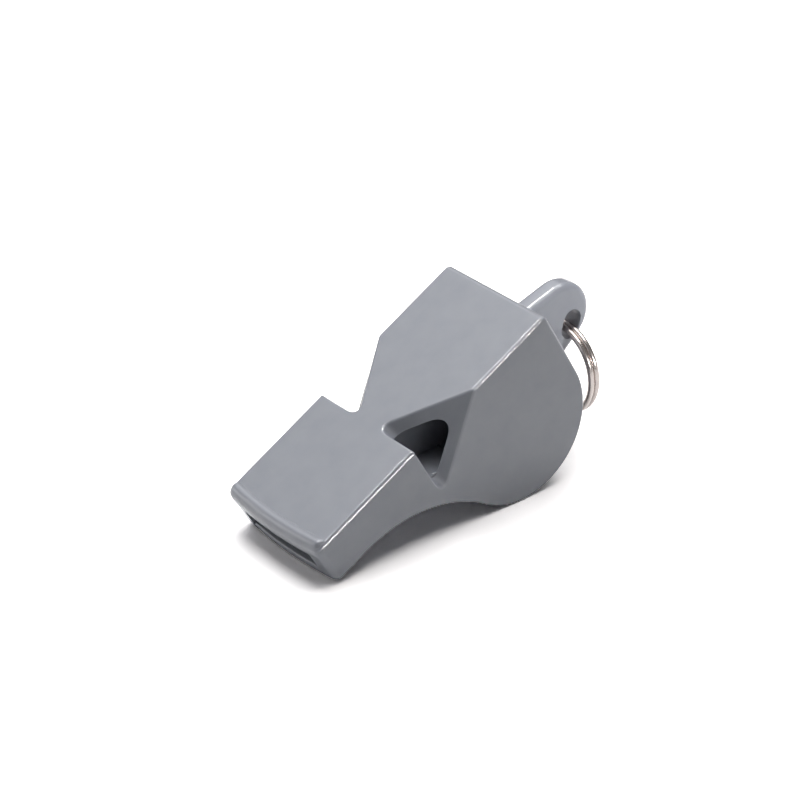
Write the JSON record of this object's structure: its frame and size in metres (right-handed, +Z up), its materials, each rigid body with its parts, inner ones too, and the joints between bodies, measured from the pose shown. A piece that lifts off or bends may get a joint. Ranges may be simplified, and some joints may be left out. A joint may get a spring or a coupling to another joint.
{
  "type": "whistle keyring",
  "caption": "Grey pealess whistle with side notches, a bead along the lip, a round belly and a lug that carries a small split ring.",
  "frame": {"origin": "on the table under the middle of the whistle, as it lies on its belly and the front edge of its mouthpiece", "axes": "+X runs from the lip to the lug, +Y runs across the whistle away from the pictured side, +Z is up"},
  "size_m": [0.0574, 0.021, 0.0281],
  "materials": {
    "grey_plastic": "satin moulded plastic",
    "nickel_wire": "bright nickel plate"
  },
  "bodies": {
    "whistle": {"body_shell": "grey_plastic", "base_insert": "grey_plastic"},
    "ring": {"split_ring": "nickel_wire"}
  },
  "joints": [
    {"name": "ring_swing", "type": "hinge", "parent": "whistle", "child": "ring", "pos_m": [0.025, 0, 0.0184], "axis": [0, -1, 0], "range_deg": [-15, 220]}
  ]
}
